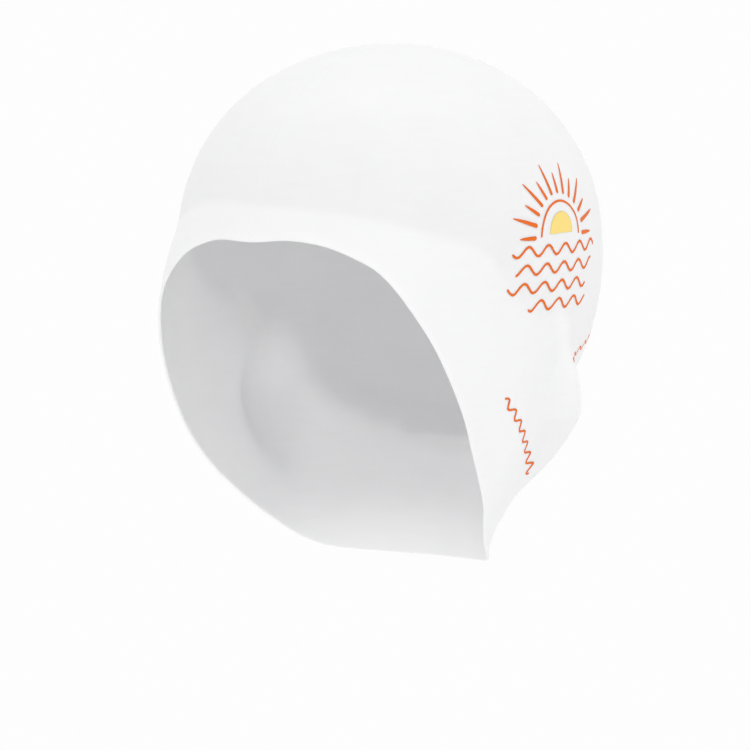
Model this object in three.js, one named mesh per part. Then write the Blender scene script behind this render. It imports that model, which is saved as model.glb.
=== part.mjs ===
// Ear-covering swim cap moulded in one piece of silicone, in the form it takes when worn.
// Millimetres, +Z up, brow towards -Y. The origin is the inside of the crown, where the head carries the cap.
import * as THREE from "three";

const CAP_WIDTH = 154; // across the crown
const CAP_LENGTH = 195; // crown, brow to back
const CAP_HEIGHT = 206; // top of the crown to the rim at the nape
const WALL = 1; // silicone sheet
const RIM_BEAD = 0.2; // how far the bead along the rim stands proud
const RIM_BEAD_RUN = 2.6; // width of the bead

// The skin is stretched over four rounded forms, blended into one another in this order. Each is close to
// an ellipsoid, with its own upper and lower half. Sideways and wide are shares of CAP_WIDTH, back and long
// of CAP_LENGTH, drop, up and low of CAP_HEIGHT. Tilt raises the front per length, lean moves the form back
// per height, and taper draws its lower half in per height. Square and dome are the exponents of its plan
// and of its height, where 2 is an ellipse. Blend is the width of the soft join as a share of CAP_WIDTH.
const FORM_COLUMNS = [
  "sideways", "back", "drop", "wide", "long", "up", "low", "tilt", "lean", "taper", "square", "dome", "blend",
];
const FORM_ROWS = {
  crown: [0, -0.002, 0.383, 0.5, 0.498, 0.375, 0.45, -0.076, -0.158, 0, 2, 2.07, 0],
  face: [0, -0.13, 0.549, 0.479, 0.431, 0.466, 0.5, 0.067, 0.039, 0, 2.05, 2, 0.024],
  neck: [0, -0.093, 1.04, 0.298, 0.256, 0.386, 0.971, 0, 0, 0, 2, 2, 0.117],
  ears: [0.407, 0.055, 0.698, 0.088, 0.08, 0.123, 0.136, 0, 0.164, 0.427, 2, 2, 0.075],
};

// The rim from the middle of the brow round to the nape, the same on both sides. Round is the plan angle
// in degrees, and drop the depth below the top of the crown as a share of CAP_HEIGHT.
const RIM_COLUMNS = ["round", "drop"];
const RIM_ROWS = [
  [0, 0.346],
  [9, 0.341],
  [16, 0.348],
  [20, 0.358],
  [25, 0.376],
  [29, 0.394],
  [33, 0.423],
  [38, 0.471],
  [44, 0.534],
  [50, 0.606],
  [56, 0.677],
  [62, 0.746],
  [69, 0.802],
  [77, 0.848],
  [86, 0.89],
  [96, 0.923],
  [105, 0.946],
  [116, 0.967],
  [130, 0.985],
  [155, 0.997],
  [180, 1],
];

// The skin is found along rays: over the crown they fan out from the top of the axis, and below it they
// run level from an axis that comes forward on its way down.
const AXIS_TOP_DROP = 0.32; // share of CAP_HEIGHT
const AXIS_LOW_DROP = 0.976; // share of CAP_HEIGHT
const AXIS_FORWARD = 0.092; // share of CAP_LENGTH, at the low end
const FAN_RADIUS = 0.55; // run along the skin per radian of the fan, share of CAP_WIDTH
const RAY_REACH = 1.1; // longest ray, share of CAP_WIDTH

const COLUMNS = 72; // facets round the cap
const ROWS = 34; // facets from the crown to the bead
const BEAD_ROWS = 3; // facets across the bead
const RAY_PRECISION = 1e-9; // end of the search along a ray, share of its reach
const PROBE = 0.05; // step for the slope of the form
const SILICONE = { color: 0xf3f5f7, roughness: 0.5, metalness: 0 };

function namedRow(columns, row) {
  return Object.fromEntries(columns.map((column, i) => [column, row[i]]));
}

function sizedForm(row) {
  const share = namedRow(FORM_COLUMNS, row);
  return {
    sideways: share.sideways * CAP_WIDTH,
    back: share.back * CAP_LENGTH,
    level: -share.drop * CAP_HEIGHT,
    wide: share.wide * CAP_WIDTH,
    long: share.long * CAP_LENGTH,
    up: share.up * CAP_HEIGHT,
    low: share.low * CAP_HEIGHT,
    tilt: share.tilt,
    lean: share.lean,
    taper: share.taper,
    square: share.square,
    dome: share.dome,
    blend: share.blend * CAP_WIDTH,
  };
}

const forms = Object.values(FORM_ROWS).map(sizedForm);
const rimTable = RIM_ROWS.map((row) => namedRow(RIM_COLUMNS, row));

// Distance of a point from one form, taken along the line to its centre: below 0 inside.
function formDistance(form, point) {
  const above = point.z - form.level;
  const y = point.y - form.back - form.lean * above;
  const x = Math.abs(point.x) - form.sideways - form.taper * Math.min(above, 0);
  const z = above + form.tilt * y;
  const half = z > 0 ? form.up : form.low;
  const plan =
    Math.abs(x / form.wide) ** form.square + Math.abs(y / form.long) ** form.square;
  const dome = form.dome;
  const reach = (plan ** (dome / form.square) + Math.abs(z / half) ** dome) ** (1 / dome);
  return Math.hypot(x, y, z) * (1 - 1 / Math.max(reach, 1e-6));
}

function blended(near, far, width) {
  const share = Math.max(width - Math.abs(near - far), 0) / width;
  return Math.min(near, far) - (share ** 3 * width) / 6;
}

// Distance of a point from all four forms together.
function headDistance(point) {
  return forms
    .slice(1)
    .reduce(
      (sum, form) => blended(sum, formDistance(form, point), form.blend),
      formDistance(forms[0], point),
    );
}

function outwards(point) {
  const slope = ["x", "y", "z"].map((axis) => {
    const ahead = point.clone();
    const behind = point.clone();
    ahead[axis] += PROBE;
    behind[axis] -= PROBE;
    return headDistance(ahead) - headDistance(behind);
  });
  return new THREE.Vector3(...slope).normalize();
}

const axisTop = new THREE.Vector3(0, 0, -AXIS_TOP_DROP * CAP_HEIGHT);
const axisLow = new THREE.Vector3(0, -AXIS_FORWARD * CAP_LENGTH, -AXIS_LOW_DROP * CAP_HEIGHT);
const fanRadius = FAN_RADIUS * CAP_WIDTH;
const fanRun = (fanRadius * Math.PI) / 2;

// Point of the skin at a plan angle from the brow and a run down from the crown.
function skinPoint(angle, run) {
  const fan = Math.min(run, fanRun) / fanRadius;
  const share = Math.max(run - fanRun, 0) / (axisTop.z - axisLow.z);
  const start = axisTop.clone().lerp(axisLow, share);
  const ray = new THREE.Vector3(
    Math.sin(fan) * Math.sin(angle),
    -Math.sin(fan) * Math.cos(angle),
    Math.cos(fan),
  );
  const longest = RAY_REACH * CAP_WIDTH;
  let inside = 0;
  let outside = longest;
  while (outside - inside > RAY_PRECISION * longest) {
    const middle = (inside + outside) / 2;
    const isOut = headDistance(start.clone().addScaledVector(ray, middle)) > 0;
    inside = isOut ? inside : middle;
    outside = isOut ? middle : outside;
  }
  return start.addScaledVector(ray, outside);
}

// Smooth curve through the rim table, level at the brow and at the nape.
function rimDrop(degrees) {
  const last = rimTable.length - 1;
  const after = rimTable.findIndex((row) => row.round > degrees);
  const i = after < 0 ? last - 1 : after - 1;
  const slopeAt = (n) =>
    n === 0 || n === last
      ? 0
      : (rimTable[n + 1].drop - rimTable[n - 1].drop) /
        (rimTable[n + 1].round - rimTable[n - 1].round);
  const span = rimTable[i + 1].round - rimTable[i].round;
  const t = (degrees - rimTable[i].round) / span;
  const rise = (3 - 2 * t) * t * t;
  return (
    rimTable[i].drop * (1 - rise) +
    rimTable[i + 1].drop * rise +
    slopeAt(i) * span * t * (1 - t) ** 2 -
    slopeAt(i + 1) * span * t * t * (1 - t)
  );
}

// Runs of the rows from the crown to the rim, the last few inside the bead.
function rowRuns(rimRun) {
  const plain = rimRun - RIM_BEAD_RUN;
  const body = Array.from({ length: ROWS }, (_, i) => (plain * (i + 1)) / ROWS);
  const bead = Array.from(
    { length: BEAD_ROWS },
    (_, i) => plain + (RIM_BEAD_RUN * (i + 1)) / BEAD_ROWS,
  );
  return body.concat(bead);
}

function beadHeight(run, rimRun) {
  const share = THREE.MathUtils.clamp(1 - (rimRun - run) / RIM_BEAD_RUN, 0, 1);
  return RIM_BEAD * share * share * (3 - 2 * share);
}

// Outer and inner skin, crown first, then row by row round the cap.
const crownTop = skinPoint(0, 0);
const outer = [crownTop];
const inner = [crownTop.clone().addScaledVector(outwards(crownTop), -WALL)];
const outward = [outwards(crownTop)];
const angles = Array.from({ length: COLUMNS }, (_, i) => (2 * Math.PI * i) / COLUMNS);
const columnRuns = angles.map((angle) => {
  const degrees = THREE.MathUtils.radToDeg(Math.min(angle, 2 * Math.PI - angle));
  return rowRuns(fanRun + axisTop.z + rimDrop(degrees) * CAP_HEIGHT);
});
const rowCount = ROWS + BEAD_ROWS;
for (let row = 0; row < rowCount; row += 1) {
  angles.forEach((angle, column) => {
    const run = columnRuns[column][row];
    const point = skinPoint(angle, run);
    const normal = outwards(point);
    const bead = beadHeight(run, columnRuns[column][rowCount - 1]);
    outer.push(point.clone().addScaledVector(normal, bead));
    inner.push(point.clone().addScaledVector(normal, -WALL));
    outward.push(normal);
  });
}

// Bevelled lip that joins the two skins along the rim.
const LIP_TURNS = [0.25, 0.75]; // shares of the half turn from outside to inside
const rimStart = 1 + (rowCount - 1) * COLUMNS;
const lip = LIP_TURNS.map((turn) =>
  angles.map((_, column) => {
    const here = rimStart + column;
    const next = rimStart + ((column + 1) % COLUMNS);
    const before = rimStart + ((column + COLUMNS - 1) % COLUMNS);
    const along = outer[next].clone().sub(outer[before]);
    const down = new THREE.Vector3().crossVectors(outward[here], along).normalize();
    if (down.dot(outer[here].clone().sub(outer[here - COLUMNS])) < 0) down.negate();
    const middle = outer[here].clone().add(inner[here]).multiplyScalar(0.5);
    const half = outer[here].distanceTo(inner[here]) / 2;
    return middle
      .addScaledVector(outward[here], half * Math.cos(turn * Math.PI))
      .addScaledVector(down, half * Math.sin(turn * Math.PI));
  }),
);

// The inside of the crown becomes the origin.
const rings = outer.concat(inner, ...lip);
const seat = inner[0].clone();
rings.forEach((point) => point.sub(seat));

// Faces, outwards: crown fans, skins, and the strips across the lip.
const faces = [];
const innerStart = outer.length;
const lipStart = innerStart + inner.length;
function strip(upper, lower) {
  for (let column = 0; column < COLUMNS; column += 1) {
    const next = (column + 1) % COLUMNS;
    faces.push(upper + column, lower + column, lower + next);
    faces.push(upper + column, lower + next, upper + next);
  }
}
for (let column = 0; column < COLUMNS; column += 1) {
  const next = (column + 1) % COLUMNS;
  faces.push(0, 1 + column, 1 + next);
  faces.push(innerStart, innerStart + 1 + next, innerStart + 1 + column);
}
for (let row = 1; row < rowCount; row += 1) {
  const upper = 1 + (row - 1) * COLUMNS;
  const lower = 1 + row * COLUMNS;
  strip(upper, lower);
  strip(innerStart + lower, innerStart + upper);
}
const innerRim = innerStart + rimStart;
const lipRings = [rimStart, lipStart, lipStart + COLUMNS, innerRim];
for (let i = 1; i < lipRings.length; i += 1) strip(lipRings[i - 1], lipRings[i]);

const capShape = new THREE.BufferGeometry();
capShape.setAttribute(
  "position",
  new THREE.Float32BufferAttribute(rings.flatMap((point) => point.toArray()), 3),
);
capShape.setIndex(faces);
capShape.computeVertexNormals();

const cap = new THREE.Mesh(capShape, new THREE.MeshStandardMaterial(SILICONE));
cap.name = "cap_skin";

const swimCap = new THREE.Group();
swimCap.name = "swim_cap";
swimCap.add(cap);

export default swimCap;
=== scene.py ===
import math

import bpy
import numpy as np
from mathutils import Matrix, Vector


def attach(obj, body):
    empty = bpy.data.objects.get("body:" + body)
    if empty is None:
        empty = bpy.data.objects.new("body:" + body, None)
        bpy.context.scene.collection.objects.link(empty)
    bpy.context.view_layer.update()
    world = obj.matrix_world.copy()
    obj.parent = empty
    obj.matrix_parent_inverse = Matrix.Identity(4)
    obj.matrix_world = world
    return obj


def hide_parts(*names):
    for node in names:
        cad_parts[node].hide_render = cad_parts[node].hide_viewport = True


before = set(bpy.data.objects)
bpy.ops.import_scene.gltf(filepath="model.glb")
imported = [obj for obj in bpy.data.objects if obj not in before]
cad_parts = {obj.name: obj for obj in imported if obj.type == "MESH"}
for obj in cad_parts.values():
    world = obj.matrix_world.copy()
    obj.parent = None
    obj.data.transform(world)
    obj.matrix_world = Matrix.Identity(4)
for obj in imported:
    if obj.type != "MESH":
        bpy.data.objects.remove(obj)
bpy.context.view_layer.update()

# Cap skin. The real cap is one sheet of white silicone rubber, injection moulded in a two-part steel
# mould with a blasted face, then stretched over a head. The sheet shows the forms below it: the crown
# with its crease above the brow, the band over the temples, the ears and the top of the neck.
MM = 0.001
CAP_WIDTH = 154.0
CAP_LENGTH = 195.0
CAP_HEIGHT = 206.0
WALL = 1.0
RIM_BEAD = 0.2
RIM_BEAD_RUN = 2.6
AXIS_TOP = -0.32 * CAP_HEIGHT
AXIS_LOW = -0.976 * CAP_HEIGHT
AXIS_FORWARD = 0.092 * CAP_LENGTH
FAN_RADIUS = 0.55 * CAP_WIDTH
FAN_RUN = FAN_RADIUS * math.pi / 2
RAY_REACH = 1.1 * CAP_WIDTH
RAY_HALVINGS = 34
SLOPE_STEP = 0.05
LEAST_REACH = 1e-6

# Rounded forms below the sheet, blended in this order: shares of the width for sideways, wide and blend,
# of the length for back and long, of the height for drop, up and low. Square and dome are exponents.
FORM_COLUMNS = (
    "sideways", "back", "drop", "wide", "long", "up", "low",
    "tilt", "lean", "taper", "square", "dome", "blend",
)
FORM_ROWS = {
    "crown": (0, -0.002, 0.383, 0.5, 0.498, 0.375, 0.45, -0.076, -0.158, 0, 2, 2.07, 0),
    "face": (0, -0.13, 0.549, 0.479, 0.431, 0.466, 0.5, 0.067, 0.039, 0, 2.05, 2, 0.02),
    "neck": (0, -0.093, 1.04, 0.298, 0.256, 0.386, 0.971, 0, 0, 0, 2, 2, 0.117),
    "ears": (0.407, 0.055, 0.698, 0.088, 0.08, 0.123, 0.136, 0, 0.164, 0.427, 2, 2, 0.075),
}

# Low swells and hollows of the face form at the crease and above the ears: plan angle from the brow in
# degrees, level, the spread of each, and the height. The crease sits a little askew, as the rim does.
SWELL_ROWS = (
    (17.0, -61.0, 15.0, 14.0, -0.5), (-33.0, -62.0, 12.0, 14.0, -0.3), (57.0, -76.0, 12.0, 14.0, 1.85),
    (-57.0, -76.0, 12.0, 14.0, 1.85), (94.0, -109.0, 12.0, 12.0, 3.0), (-94.0, -109.0, 12.0, 12.0, 3.0),
)

# The rim from the middle of the brow to the nape: plan angle in degrees, then its drop on the wearer's left
# and right as shares of the height. The cap is worn a little askew, so the right temple is lower.
RIM_ROWS = (
    (0, 0.346, 0.346), (9, 0.341, 0.345), (16, 0.348, 0.36), (20, 0.358, 0.373), (25, 0.376, 0.398),
    (29, 0.394, 0.42), (33, 0.423, 0.442), (38, 0.471, 0.478), (44, 0.534, 0.534), (50, 0.606, 0.606),
    (56, 0.677, 0.677), (62, 0.746, 0.746), (69, 0.802, 0.802), (77, 0.848, 0.848), (86, 0.89, 0.89),
    (96, 0.923, 0.923), (105, 0.946, 0.946), (116, 0.967, 0.967), (130, 0.985, 0.985), (155, 0.997, 0.997),
    (180, 1, 1),
)


def bells(points, rows):
    """Sum of bells over the plan angle and the level."""
    turn = np.degrees(np.arctan2(points[..., 0], -points[..., 1]))
    total = 0 * turn
    for angle, level, angle_spread, level_spread, height in rows:
        away = ((turn - angle) / angle_spread) ** 2 + ((points[..., 2] - level) / level_spread) ** 2
        total = total + height * np.exp(-away)
    return total


def form_distance(name, points):
    """Distance from one rounded form along the line to its centre: length times (1 - 1 / reach), where
    reach is the dome root of the plan superellipse to the dome over square plus the height share to it.
    The swells are taken off the distance to the face."""
    form = dict(zip(FORM_COLUMNS, FORM_ROWS[name]))
    above = points[..., 2] + form["drop"] * CAP_HEIGHT
    y = points[..., 1] - form["back"] * CAP_LENGTH - form["lean"] * above
    x = np.abs(points[..., 0]) - form["sideways"] * CAP_WIDTH - form["taper"] * np.minimum(above, 0)
    z = above + form["tilt"] * y
    half = np.where(z > 0, form["up"], form["low"]) * CAP_HEIGHT
    square, dome = form["square"], form["dome"]
    sideways, endways = x / (form["wide"] * CAP_WIDTH), y / (form["long"] * CAP_LENGTH)
    plan = np.abs(sideways) ** square + np.abs(endways) ** square
    reach = (plan ** (dome / square) + np.abs(z / half) ** dome) ** (1 / dome)
    distance = np.sqrt(x**2 + y**2 + z**2) * (1 - 1 / np.maximum(reach, LEAST_REACH))
    return distance - bells(points, SWELL_ROWS) if name == "face" else distance


def head_distance(points):
    """Smooth least of the four distances: least minus width / 6 times the cube of the overlap share."""
    total = form_distance("crown", points)
    for name in ("face", "neck", "ears"):
        width = FORM_ROWS[name][-1] * CAP_WIDTH
        other = form_distance(name, points)
        share = np.maximum(width - np.abs(total - other), 0) / width
        total = np.minimum(total, other) - share**3 * width / 6
    return total


def head_normal(points):
    """Slope of the distance by central differences, scaled to length 1."""
    steps = SLOPE_STEP * np.eye(3)
    slope = np.stack([head_distance(points + step) - head_distance(points - step) for step in steps], -1)
    return slope / np.linalg.norm(slope, axis=-1, keepdims=True)


def plain_skin(angle, run):
    """Crossing of a ray with the forms, by halving. Over the crown the rays fan out from one point, a run
    of FAN_RADIUS per radian, and below it they run level from an axis that comes forward."""
    fan = np.minimum(run, FAN_RUN) / FAN_RADIUS
    share = np.maximum(run - FAN_RUN, 0) / (AXIS_TOP - AXIS_LOW)
    start = np.stack([0 * share, -AXIS_FORWARD * share, AXIS_TOP + (AXIS_LOW - AXIS_TOP) * share], -1)
    ray = np.stack([np.sin(fan) * np.sin(angle), -np.sin(fan) * np.cos(angle), np.cos(fan)], -1)
    inside = np.zeros_like(fan)
    outside = np.full_like(fan, RAY_REACH)
    for _ in range(RAY_HALVINGS):
        middle = (inside + outside) / 2
        is_out = head_distance(start + middle[..., None] * ray) > 0
        inside = np.where(is_out, inside, middle)
        outside = np.where(is_out, middle, outside)
    return start + outside[..., None] * ray


# Relief of the sheet: the mould's parting line, the faint waves of stretched rubber by their lengths, and
# a soft fold behind the ear on both sides, by the y and z of its middle and its turn towards the back.
PARTING_HEIGHT = 0.12
PARTING_WIDTH = 0.45
RUBBER_WAVE_HEIGHT = 0.1
RUBBER_WAVE_LENGTHS = (61.0, 43.0, 29.0, 19.0)
RUBBER_WAVE_SEED = 11
FOLD_Y = 9.5
FOLD_Z = -116.0
FOLD_TURN = math.radians(-56.0)
FOLD_LENGTH = 17.0
FOLD_WIDTH = 4.5
FOLD_HEIGHT = 0.8


def fold_share(points):
    """Bell along the length and the width of the fold."""
    y, z = points[..., 1] - FOLD_Y, points[..., 2] - FOLD_Z
    along = (y * math.cos(FOLD_TURN) + z * math.sin(FOLD_TURN)) / FOLD_LENGTH
    across = (z * math.cos(FOLD_TURN) - y * math.sin(FOLD_TURN)) / FOLD_WIDTH
    return np.exp(-(along**2) - across**2)


def sheet_relief(points):
    """Height of the sheet over the forms: the parting line of the mould, a bell across the middle plane,
    the fold, and the faint waves of stretched rubber, products of sines along turned directions."""
    relief = PARTING_HEIGHT * np.exp(-((points[..., 0] / PARTING_WIDTH) ** 2))
    relief = relief + FOLD_HEIGHT * fold_share(points)
    dice = np.random.default_rng(RUBBER_WAVE_SEED)
    for length in RUBBER_WAVE_LENGTHS:
        turned = points @ np.linalg.qr(dice.normal(size=(3, 3)))[0] * (2 * math.pi / length)
        phase = dice.uniform(0, 2 * math.pi, 3)
        wave = np.sin(turned + phase).prod(-1)
        relief = relief + RUBBER_WAVE_HEIGHT * (length / RUBBER_WAVE_LENGTHS[0]) * wave
    return relief


def skin(angle, run, proud=0.0):
    """Outer face of the sheet: the plain skin moved along its normal by the relief, plus proud."""
    points = plain_skin(angle, run)
    normals = head_normal(points)
    return points + normals * (sheet_relief(points) + proud)[..., None], normals


def rim_run(angle):
    """Run from the crown to the rim: a cubic through the rim table, level at the brow and the nape."""
    table = np.array(RIM_ROWS, float)
    turn = np.degrees((angle + math.pi) % (2 * math.pi) - math.pi)
    around = np.abs(turn)
    drops = []
    for column in (1, 2):
        slope = np.zeros(len(table))
        slope[1:-1] = (table[2:, column] - table[:-2, column]) / (table[2:, 0] - table[:-2, 0])
        i = np.clip(np.searchsorted(table[:, 0], around, side="right") - 1, 0, len(table) - 2)
        span = table[i + 1, 0] - table[i, 0]
        t = (around - table[i, 0]) / span
        rise = (3 - 2 * t) * t * t
        drop = table[i, column] * (1 - rise) + table[i + 1, column] * rise
        drops.append(drop + span * t * (1 - t) * (slope[i] * (1 - t) - slope[i + 1] * t))
    return FAN_RUN + AXIS_TOP + np.where(turn > 0, *drops) * CAP_HEIGHT


CROWN_TOP = plain_skin(np.zeros(1), np.zeros(1))
SEAT = (CROWN_TOP - WALL * head_normal(CROWN_TOP))[0]

COLUMN_STEP = 1.25
MIDLINE_STEPS = (0.0, 0.13, 0.26, 0.4, 0.58, 0.85)
OUTER_ROWS = 168
BEAD_ROWS = 7
INNER_ROWS = 60
LIP_ROWS = 7


def cap_columns():
    """Plan angles of the columns: one every COLUMN_STEP degrees, closer beside the parting line."""
    half = np.concatenate([MIDLINE_STEPS, np.arange(COLUMN_STEP, 180 - COLUMN_STEP / 2, COLUMN_STEP)])
    half = np.concatenate([half, 180 - np.array(MIDLINE_STEPS[:0:-1])])
    return np.radians(np.concatenate([half, [180.0], -half[:0:-1]]))


def cap_rings():
    """Rings of the closed sheet, from the crown down the outer face, round the lip and up the inner face.
    Outer row: share of the run to the bead, then the bead, a smooth step up. Lip: half a turn about the
    middle of the wall, from the outward normal through the tangent that leaves the sheet. Inner row:
    the plain skin less the wall along its normal."""
    angle = cap_columns()[None, :]
    end = rim_run(angle)
    plain = end - RIM_BEAD_RUN
    shares = np.linspace(0, 1, OUTER_ROWS + 1)[1:, None]
    body = shares * plain
    bead = plain + RIM_BEAD_RUN * np.linspace(0, 1, BEAD_ROWS + 1)[1:, None]
    run = np.concatenate([body, bead])
    angle_grid = np.broadcast_to(angle, run.shape)
    rise = np.clip(1 - (end - run) / RIM_BEAD_RUN, 0, 1)
    outer, _ = skin(angle_grid, run, RIM_BEAD * rise**2 * (3 - 2 * rise))
    inner_run = np.linspace(1, 0, INNER_ROWS + 1)[:-1, None] * end
    inner_base = plain_skin(np.broadcast_to(angle, inner_run.shape), inner_run)
    inner = inner_base - WALL * head_normal(inner_base)
    middle = (outer[-1] + inner[0]) / 2
    across = (outer[-1] - inner[0]) / 2
    along = np.roll(outer[-1], -1, axis=0) - np.roll(outer[-1], 1, axis=0)
    leave = np.cross(along, across)
    leave *= np.sign((leave * (outer[-1] - outer[-3])).sum(-1, keepdims=True))
    leave *= np.linalg.norm(across, axis=-1, keepdims=True) / np.linalg.norm(leave, axis=-1, keepdims=True)
    turn = np.linspace(0, math.pi, LIP_ROWS + 2)[1:-1, None, None]
    lip = middle + across * np.cos(turn) + leave * np.sin(turn)
    return np.concatenate([outer, lip, inner])


def ring_faces(rings, columns):
    """Quads between each ring and the next, and a fan at either end."""
    column = np.arange(columns)
    after = np.roll(column, -1)
    upper = 1 + columns * np.arange(rings - 1)[:, None]
    lower = upper + columns
    quads = np.stack([upper + column, lower + column, lower + after, upper + after], -1).reshape(-1, 4)
    last = 1 + columns * rings
    first_fan = np.stack([0 * column, 1 + column, 1 + after], -1)
    last_fan = np.stack([0 * column + last, last - columns + after, last - columns + column], -1)
    return quads.tolist() + first_fan.tolist() + last_fan.tolist()


# Painted light: the band below the crease is painted whiter than the crown, for the light on its upward face.
# Its edge at the crease, how it fades towards the back, its further reach above the ears in rows as the
# swells have, and a painted highlight on the fold.
PAINTED_LIGHT_EDGE = 1.6
PAINTED_LIGHT_BACK = -70.0
PAINTED_LIGHT_SLANT = -0.2
PAINTED_LIGHT_FADE = 50.0
PAINTED_LIGHT_LEAST = 0.25
PAINTED_LIGHT_ROWS = ((98.0, -112.0, 14.0, 16.0, 4.0), (-98.0, -112.0, 14.0, 16.0, 4.0))
# Painted highlight on the fold behind the ear, added to the share of painted light.
PAINTED_FOLD_HIGHLIGHT = 0.55


def painted_light_share(points):
    """1 on the band below the crease, painted whiter as painted light, 0 on the crown: a smooth step of how
    far the face form lies outside the crown form, reaching further above the ear, fading backwards over the
    fade length about a line that comes back as it goes down. A painted highlight on the fold adds to it."""
    lead = form_distance("crown", points) - form_distance("face", points)
    lead = lead + bells(points, PAINTED_LIGHT_ROWS)
    step = np.clip(lead / PAINTED_LIGHT_EDGE + 0.5, 0, 1)
    ahead = PAINTED_LIGHT_BACK + PAINTED_LIGHT_SLANT * points[:, 2] - points[:, 1]
    fade = np.clip(ahead / PAINTED_LIGHT_FADE + 0.5, 0, 1)
    band_light = step * step * (3 - 2 * step) * (PAINTED_LIGHT_LEAST + (1 - PAINTED_LIGHT_LEAST) * fade)
    return np.clip(band_light + PAINTED_FOLD_HIGHLIGHT * fold_share(points), 0, 1)


def piece_from(name, points, faces):
    """Mesh object at the origin from points in mm below the crown's top and faces, shaded smooth."""
    mesh = bpy.data.meshes.new(name)
    mesh.from_pydata(((points - SEAT) * MM).tolist(), [], faces)
    mesh.polygons.foreach_set("use_smooth", np.ones(len(mesh.polygons), bool))
    mesh.update()
    piece = bpy.data.objects.new(name, mesh)
    bpy.context.scene.collection.objects.link(piece)
    return piece


def linear(hex_colour):
    """sRGB hex to linear RGB with alpha 1."""
    shares = np.array([int(hex_colour[i : i + 2], 16) for i in (1, 3, 5)]) / 255
    straight = np.where(shares <= 0.04045, shares / 12.92, ((shares + 0.055) / 1.055) ** 2.4)
    return (*straight.tolist(), 1.0)


def add_node(tree, kind, inputs, **settings):
    """Node of a kind with its settings, each input set to a value or linked from another node's socket."""
    node = tree.nodes.new(kind)
    for key, value in settings.items():
        setattr(node, key, value)
    for key, value in inputs.items():
        if isinstance(value, bpy.types.NodeSocket):
            tree.links.new(value, node.inputs[key])
        else:
            node.inputs[key].default_value = value
    return node


def new_material(name):
    """Empty node material: its tree and the object's own coordinates."""
    material = bpy.data.materials.new(name)
    material.use_nodes = True
    tree = material.node_tree
    tree.nodes.clear()
    place = add_node(tree, "ShaderNodeTexCoord", {}).outputs["Object"]
    return material, tree, place


# Silicone rubber, white pigmented, moulded against a blasted steel face: a silky matt skin with a very
# fine grain, a wide soft sheen, faint clouds and stretch streaks in the white, and light passing through
# the sheet. The band below the crease is painted whiter than the crown: painted light for its upward face.
GRAIN_MM = 0.45
CLOUD_MM = 24.0
STREAK_MM = 17.0
STREAK_FLATTER = 7.0
CROWN_WHITE = "#F2F2F3"
CROWN_CLOUD = "#F0F0F1"
# Painted light: the whiter tones of the band below the crease.
PAINTED_LIGHT_WHITE = "#FCFCFD"
PAINTED_LIGHT_CLOUD = "#FAFAFB"


def silicone_material():
    """White of the crown and a whiter painted light on the band, each clouded and streaked, under a fine
    bumped grain.
    """
    material, tree, place = new_material("moulded_white_silicone_painted_light")
    cloud = add_node(
        tree,
        "ShaderNodeTexNoise",
        {"Vector": place, "Scale": 1 / (CLOUD_MM * MM), "Detail": 3.0, "Roughness": 0.55},
    )
    along = add_node(tree, "ShaderNodeMapping", {"Vector": place, "Scale": (1.0, 1.0, STREAK_FLATTER)})
    streak = add_node(
        tree,
        "ShaderNodeTexNoise",
        {"Vector": along.outputs["Vector"], "Scale": 1 / (STREAK_MM * MM), "Detail": 4.0, "Roughness": 0.6},
    )
    both = add_node(
        tree, "ShaderNodeMix", {0: 0.5, 2: cloud.outputs["Fac"], 3: streak.outputs["Fac"]}, data_type="FLOAT"
    )
    mottle = add_node(
        tree, "ShaderNodeMapRange", {"Value": both.outputs[0], "From Min": 0.38, "From Max": 0.62}
    )
    crown_tone = add_node(
        tree,
        "ShaderNodeMix",
        {0: mottle.outputs["Result"], 6: linear(CROWN_CLOUD), 7: linear(CROWN_WHITE)},
        data_type="RGBA",
    )
    painted_light_tone = add_node(
        tree,
        "ShaderNodeMix",
        {0: mottle.outputs["Result"], 6: linear(PAINTED_LIGHT_CLOUD), 7: linear(PAINTED_LIGHT_WHITE)},
        data_type="RGBA",
    )
    # Share of the painted light on the band, read from each point.
    painted_light = add_node(tree, "ShaderNodeAttribute", {}, attribute_name="painted_light")
    tone = add_node(
        tree,
        "ShaderNodeMix",
        {0: painted_light.outputs["Fac"], 6: crown_tone.outputs[2], 7: painted_light_tone.outputs[2]},
        data_type="RGBA",
    )
    sheen = add_node(
        tree, "ShaderNodeMapRange", {"Value": cloud.outputs["Fac"], "To Min": 0.44, "To Max": 0.54}
    )
    grain = add_node(
        tree, "ShaderNodeTexNoise", {"Vector": place, "Scale": 1 / (GRAIN_MM * MM), "Detail": 2.0}
    )
    bump = add_node(
        tree, "ShaderNodeBump", {"Height": grain.outputs["Fac"], "Strength": 0.35, "Distance": 0.00002}
    )
    surface = add_node(
        tree,
        "ShaderNodeBsdfPrincipled",
        {
            "Base Color": tone.outputs[2],
            "Roughness": sheen.outputs["Result"],
            "Normal": bump.outputs["Normal"],
            "IOR": 1.41,
            "Subsurface Weight": 0.8,
            "Subsurface Radius": (1.0, 1.0, 1.0),
            "Subsurface Scale": 1.6 * MM,
        },
    )
    add_node(tree, "ShaderNodeOutputMaterial", {"Surface": surface.outputs["BSDF"]})
    return material


rings = cap_rings()
ring_count, column_count = rings.shape[:2]
crown_outside = skin(np.zeros(1), np.zeros(1))[0]
cap_points = np.concatenate([crown_outside, rings.reshape(-1, 3), SEAT[None]])
cap = piece_from("silicone_cap", cap_points, ring_faces(ring_count, column_count))
# Each point's share of the painted light on the band and the painted highlight on the fold.
cap.data.attributes.new("painted_light", "FLOAT", "POINT").data.foreach_set("value", painted_light_share(cap_points))
cap.data.materials.append(silicone_material())
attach(cap, "root")
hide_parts("cap_skin")

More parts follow.
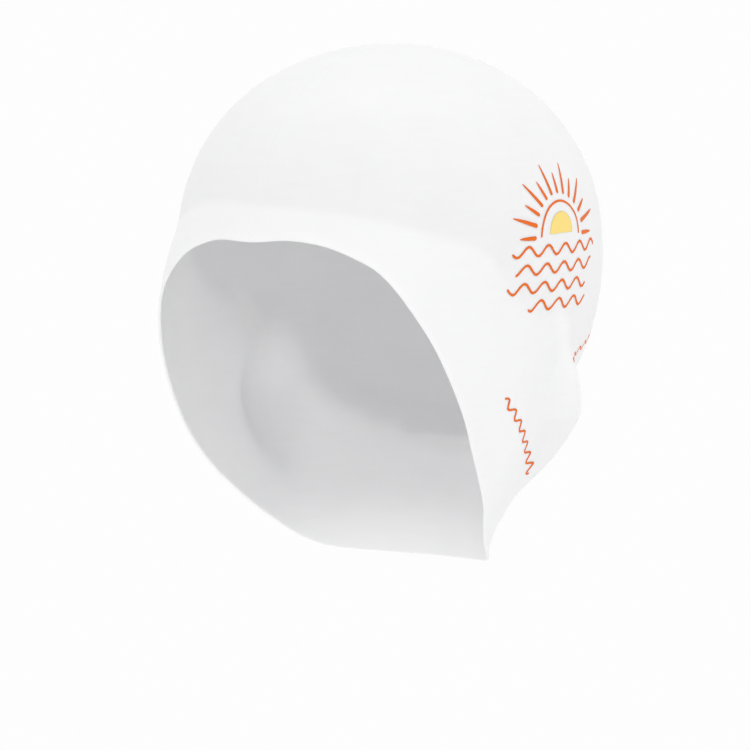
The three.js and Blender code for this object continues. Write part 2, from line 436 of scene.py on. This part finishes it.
# Printed sunrise over waves, on the wearer's left side. The real print is silicone ink pushed through
# a screen, a film under a tenth of a millimetre thick: the yellow sun first, then the orange lines.
PRINT_ANGLE = math.radians(90)
PRINT_RUN = 140.0
PRINT_REACH = 77.0
YELLOW_PROUD = 0.05
ORANGE_PROUD = 0.09
INK_ROOT = -0.05
LINE = 1.0
END_STEPS = (0.0, 0.04, 0.12, 0.26, 0.5)


def on_side(across, up):
    """Print sizes in mm turned to plan angle and run: across over the reach from the axis, up against run."""
    return PRINT_ANGLE + across / PRINT_REACH, PRINT_RUN - up


def film(across, up, proud, place=on_side):
    """Closed film over a grid of print places: its top at proud, its foot sunk in the skin, walls round."""
    angle, run = place(across, up)
    top = skin(angle, run, proud)[0]
    foot = skin(angle, run, INK_ROOT)[0]
    rows, columns = across.shape
    index = np.arange(rows * columns).reshape(rows, columns)
    quads = np.stack([index[:-1, :-1], index[1:, :-1], index[1:, 1:], index[:-1, 1:]], -1).reshape(-1, 4)
    edge = np.concatenate([index[:, 0], index[-1, 1:], index[-2::-1, -1], index[0, -2:0:-1]])
    after = np.roll(edge, -1)
    count = index.size
    walls = np.stack([edge, edge + count, after + count, after], -1)
    faces = np.concatenate([quads, quads[:, ::-1] + count, walls[:, ::-1]])
    flat_top = top.reshape(-1, 3)
    corners = flat_top[[index[0, 0], index[1, 0], index[0, 1]]]
    facing = np.cross(corners[1] - corners[0], corners[2] - corners[0]) @ head_normal(corners[:1])[0]
    if facing < 0:
        faces = faces[:, ::-1]
    return np.concatenate([flat_top, foot.reshape(-1, 3)]), faces


def stroke(across, up, width, proud, place=on_side):
    """Line of a width along a path: the path, spaced evenly along its length but closely at its round ends,
    moved to either side by half the width times the root of 1 less the square of the share into the end."""
    path = np.stack([across, up], -1)
    length = np.concatenate([[0], np.cumsum(np.linalg.norm(np.diff(path, axis=0), axis=1))])
    ends = np.array(END_STEPS) * np.max(width)
    between = np.linspace(ends[-1], length[-1] - ends[-1], len(path))
    steps = np.concatenate([ends[:-1], between, length[-1] - ends[-2::-1]])
    path = np.stack([np.interp(steps, length, path[:, 0]), np.interp(steps, length, path[:, 1])], -1)
    wide = np.interp(steps, length, np.broadcast_to(width, length.shape))
    into = np.clip(1 - 2 * np.minimum(steps, length[-1] - steps) / wide, 0, 0.98)
    tangent = np.gradient(path, axis=0)
    tangent /= np.linalg.norm(tangent, axis=-1, keepdims=True)
    side = np.stack([-tangent[:, 1], tangent[:, 0]], -1)
    shares = np.linspace(-0.5, 0.5, 3)[None, :, None]
    grid = path[:, None] + side[:, None] * ((wide * np.sqrt(1 - into**2))[:, None, None] * shares)
    return film(grid[..., 0], grid[..., 1], proud, place)


def joined(name, films):
    """One piece from several films."""
    starts = np.cumsum([0] + [len(points) for points, _ in films])
    points = np.concatenate([points for points, _ in films])
    faces = np.concatenate([faces + start for (_, faces), start in zip(films, starts)])
    return piece_from(name, points, faces.tolist())


def wave_line(start, end, level, height, length, steps):
    """Path of a printed wave: level plus height times a sine along across."""
    across = np.linspace(start, end, steps)
    return across, level + height * np.sin(2 * math.pi * across / length)


# The drawing in mm: a yellow half disc inside an orange half circle, rays by their angle in degrees and
# length, long and short in turn, and the waves below by their start, end and level.
SUN_RADIUS = 14.0
DISC_RADIUS = 8.5
DISC_RISE = 1.0
SUN_LEVEL = 0.0
RAY_GAP = 3.2
RAY_WIDE = 1.6
RAY_ROWS = tuple((angle, 14.5 if i % 2 else 9.5) for i, angle in enumerate(range(0, 181, 15)))
WAVE_ROWS = ((-30, 31, -5.0), (-27, 28, -12.0), (-31, 24, -19.0), (-17, 26, -26.0))
WAVE_HIGH = 1.9
WAVE_LONG = 12.2


def half_disc(radius, level):
    """Half disc standing on a level: polar grid of radius shares and turns."""
    turn = np.linspace(0, math.pi, 48)[None, :]
    reach = np.linspace(0.02, 1, 10)[:, None] * radius
    return film(reach * np.cos(turn), level + reach * np.sin(turn), YELLOW_PROUD)


def sun_outline():
    """Half circle round the sun's disc, standing on the same level."""
    turn = np.linspace(0, math.pi, 70)
    return stroke(SUN_RADIUS * np.cos(turn), SUN_LEVEL + SUN_RADIUS * np.sin(turn), LINE, ORANGE_PROUD)


def sun_ray(angle, length):
    """Ray with a round foot and a thin tip: width falls with the root of 1 less the length share squared."""
    share = np.linspace(0, 1, 16)
    radius = SUN_RADIUS + RAY_GAP + share * length
    width = RAY_WIDE * np.sqrt(np.clip(1 - share**2, 0.03, 1))
    turn = math.radians(angle)
    return stroke(radius * math.cos(turn), SUN_LEVEL + radius * math.sin(turn), width, ORANGE_PROUD)


INK_TOOTH_MM = 0.6


def ink_material(name, deep, pale):
    """Silicone screen ink: same rubber as the cap, pigmented, matt, its tone and its surface broken by the
    fine tooth of the mesh."""
    material, tree, place = new_material(name)
    tooth = add_node(
        tree, "ShaderNodeTexNoise", {"Vector": place, "Scale": 1 / (INK_TOOTH_MM * MM), "Detail": 2.0}
    )
    tone = add_node(
        tree, "ShaderNodeMix", {0: tooth.outputs["Fac"], 6: linear(deep), 7: linear(pale)}, data_type="RGBA"
    )
    bump = add_node(
        tree, "ShaderNodeBump", {"Height": tooth.outputs["Fac"], "Strength": 0.3, "Distance": 0.00002}
    )
    surface = add_node(
        tree,
        "ShaderNodeBsdfPrincipled",
        {
            "Base Color": tone.outputs[2],
            "Roughness": 0.55,
            "Normal": bump.outputs["Normal"],
            "IOR": 1.41,
            "Specular IOR Level": 0.35,
        },
    )
    add_node(tree, "ShaderNodeOutputMaterial", {"Surface": surface.outputs["BSDF"]})
    return material


orange_ink = ink_material("screen_ink_orange", "#EA6408", "#F47812")
yellow_ink = ink_material("screen_ink_yellow", "#FDDC7A", "#FFE68C")

sunrise_fill = joined("sunrise_yellow_ink", [half_disc(DISC_RADIUS, SUN_LEVEL + DISC_RISE)])
sunrise_fill.data.materials.append(yellow_ink)
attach(sunrise_fill, "root")

sunrise_films = [sun_outline()] + [sun_ray(*row) for row in RAY_ROWS]
sunrise_films += [
    stroke(*wave_line(start, end, level, WAVE_HIGH, WAVE_LONG, 110), LINE, ORANGE_PROUD)
    for start, end, level in WAVE_ROWS
]
sunrise_lines = joined("sunrise_orange_ink", sunrise_films)
sunrise_lines.data.materials.append(orange_ink)
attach(sunrise_lines, "root")

# Small printed wave beside the rim below the ear, the same orange ink through the same kind of screen. It
# starts at a plan angle in degrees and a run, and turns and drops over its length. A mm up is UP_TURN
# degrees and UP_RUN mm of run.
RIM_WAVE_FROM = (70.0, 200.0)
RIM_WAVE_TURN = 33.0
RIM_WAVE_DROP = 33.0
RIM_WAVE_LENGTH = 46.0
RIM_WAVE_HIGH = 1.5
RIM_WAVE_LONG = 6.6
RIM_WAVE_LINE = 0.9
RIM_WAVE_UP_TURN = 0.63
RIM_WAVE_UP_RUN = 0.55


def beside_rim(across, up):
    """Print sizes in mm along the way turned to plan angle and run, up square to the way."""
    share = across / RIM_WAVE_LENGTH
    angle = RIM_WAVE_FROM[0] + RIM_WAVE_TURN * share + RIM_WAVE_UP_TURN * up
    return np.radians(angle), RIM_WAVE_FROM[1] + RIM_WAVE_DROP * share - RIM_WAVE_UP_RUN * up


rim_wave_path = wave_line(0, RIM_WAVE_LENGTH, 0, RIM_WAVE_HIGH, RIM_WAVE_LONG, 140)
rim_wave_film = stroke(*rim_wave_path, RIM_WAVE_LINE, ORANGE_PROUD, beside_rim)
rim_wave = joined("rim_wave_orange_ink", [rim_wave_film])
rim_wave.data.materials.append(orange_ink)
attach(rim_wave, "root")

# Small printed wave from behind the ear up round the back, thinner lines of the same orange ink. Of a step
# along it, one share goes round the back, at its reach from the axis, and the other goes up.
BACK_WAVE_FROM = (110.0, 191.0)
BACK_WAVE_ROUND = 0.97
BACK_WAVE_UP = 0.24
BACK_WAVE_REACH = 72.0
BACK_WAVE_LENGTH = 69.0
BACK_WAVE_HIGH = 1.2
BACK_WAVE_LONG = 6.6
BACK_WAVE_LINE = 0.6


def round_back(across, up):
    """Print sizes in mm along the way turned to plan angle and run, up square to the way."""
    angle = math.radians(BACK_WAVE_FROM[0]) + (BACK_WAVE_ROUND * across - BACK_WAVE_UP * up) / BACK_WAVE_REACH
    return angle, BACK_WAVE_FROM[1] - BACK_WAVE_UP * across - BACK_WAVE_ROUND * up


back_wave_path = wave_line(0, BACK_WAVE_LENGTH, 0, BACK_WAVE_HIGH, BACK_WAVE_LONG, 170)
back_wave_film = stroke(*back_wave_path, BACK_WAVE_LINE, ORANGE_PROUD, round_back)
back_wave = joined("back_wave_orange_ink", [back_wave_film])
back_wave.data.materials.append(orange_ink)
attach(back_wave, "root")

# Studio floor, matt white paint, a disc far enough below the cap to throw nothing but even light on it.
FLOOR_LEVEL = -0.75
FLOOR_RADIUS = 2.0
floor_turn = np.linspace(0, 2 * math.pi, 97)[:-1]
floor_rim = np.stack([np.cos(floor_turn), np.sin(floor_turn), 0 * floor_turn], -1) * FLOOR_RADIUS
floor_mesh = bpy.data.meshes.new("studio_floor")
floor_mesh.from_pydata((floor_rim + (0, 0, FLOOR_LEVEL)).tolist(), [], [list(range(len(floor_turn)))])
studio_floor = bpy.data.objects.new("studio_floor", floor_mesh)
bpy.context.scene.collection.objects.link(studio_floor)
floor_paint, floor_tree, _ = new_material("matt_white_floor_paint")
floor_surface = add_node(
    floor_tree, "ShaderNodeBsdfPrincipled", {"Base Color": linear("#F7F7F7"), "Roughness": 0.8}
)
add_node(floor_tree, "ShaderNodeOutputMaterial", {"Surface": floor_surface.outputs["BSDF"]})
studio_floor.data.materials.append(floor_paint)

# White surround, a shade brighter to the camera than it lights, and three weak soft lights: from the
# wearer's left and above, from above and from the left in front.
SURROUND_SEEN = 0.984
SURROUND_LIGHT = 0.925
world = bpy.data.worlds.new("white_surround")
world.use_nodes = True
world.node_tree.nodes.clear()
seen = add_node(world.node_tree, "ShaderNodeLightPath", {})
strength = add_node(
    world.node_tree,
    "ShaderNodeMapRange",
    {"Value": seen.outputs["Is Camera Ray"], "To Min": SURROUND_LIGHT, "To Max": SURROUND_SEEN},
)
surround = add_node(
    world.node_tree, "ShaderNodeBackground", {"Color": (1, 1, 1, 1), "Strength": strength.outputs["Result"]}
)
add_node(world.node_tree, "ShaderNodeOutputWorld", {"Surface": surround.outputs["Background"]})
bpy.context.scene.world = world


def soft_light(name, place, target, size, power):
    """Square area light at a place in metres, aimed at a target."""
    lamp = bpy.data.lights.new(name, "AREA")
    lamp.size = size
    lamp.energy = power
    light = bpy.data.objects.new(name, lamp)
    light.location = place
    light.rotation_euler = (Vector(target) - Vector(place)).to_track_quat("-Z", "Y").to_euler()
    bpy.context.scene.collection.objects.link(light)


CAP_MIDDLE = (0.0, 0.0, -0.09)
SOFTBOX_SIZE = 1.2
soft_light("side_softbox", (1.0, 0.0, 1.64), CAP_MIDDLE, SOFTBOX_SIZE, 1.7)
soft_light("top_softbox", (-0.36, 0.2, 1.87), CAP_MIDDLE, SOFTBOX_SIZE, 2.9)
soft_light("front_softbox", (1.6, -1.0, 0.5), CAP_MIDDLE, SOFTBOX_SIZE, 2.1)

# Camera: a long lens as high as the eyes, 32 degrees round from the front, 1.8 m off. The point of the
# cap's axis AIM_DROP below the crown's top stands at AIM_PX in the photograph's 750 px frame.
CAMERA_ROUND = math.radians(32.0)
CAMERA_ABOVE = math.radians(4.5)
CAMERA_AWAY = 1.8
PX_PER_MM = 2.55
FRAME_PX = 750
AIM_PX = (393.0, 235.0)
AIM_DROP = 76.0
SENSOR_MM = 36.0
back = Vector(
    (
        math.sin(CAMERA_ROUND) * math.cos(CAMERA_ABOVE),
        -math.cos(CAMERA_ROUND) * math.cos(CAMERA_ABOVE),
        math.sin(CAMERA_ABOVE),
    )
)
right = Vector((math.cos(CAMERA_ROUND), math.sin(CAMERA_ROUND), 0))
up = back.cross(right)
aim = (Vector((0, 0, -AIM_DROP)) - Vector(SEAT)) * MM
target = aim - (right * (AIM_PX[0] - FRAME_PX / 2) + up * (FRAME_PX / 2 - AIM_PX[1])) * (MM / PX_PER_MM)
lens = bpy.data.cameras.new("long_lens")
lens.sensor_width = SENSOR_MM
lens.lens = SENSOR_MM * PX_PER_MM * CAMERA_AWAY / MM / FRAME_PX
camera = bpy.data.objects.new("camera", lens)
camera.location = aim + back * CAMERA_AWAY
camera.rotation_euler = (target - camera.location).to_track_quat("-Z", "Y").to_euler()
bpy.context.scene.collection.objects.link(camera)
bpy.context.scene.camera = camera
bpy.context.scene.view_settings.view_transform = "Standard"
bpy.context.scene.view_settings.look = "None"
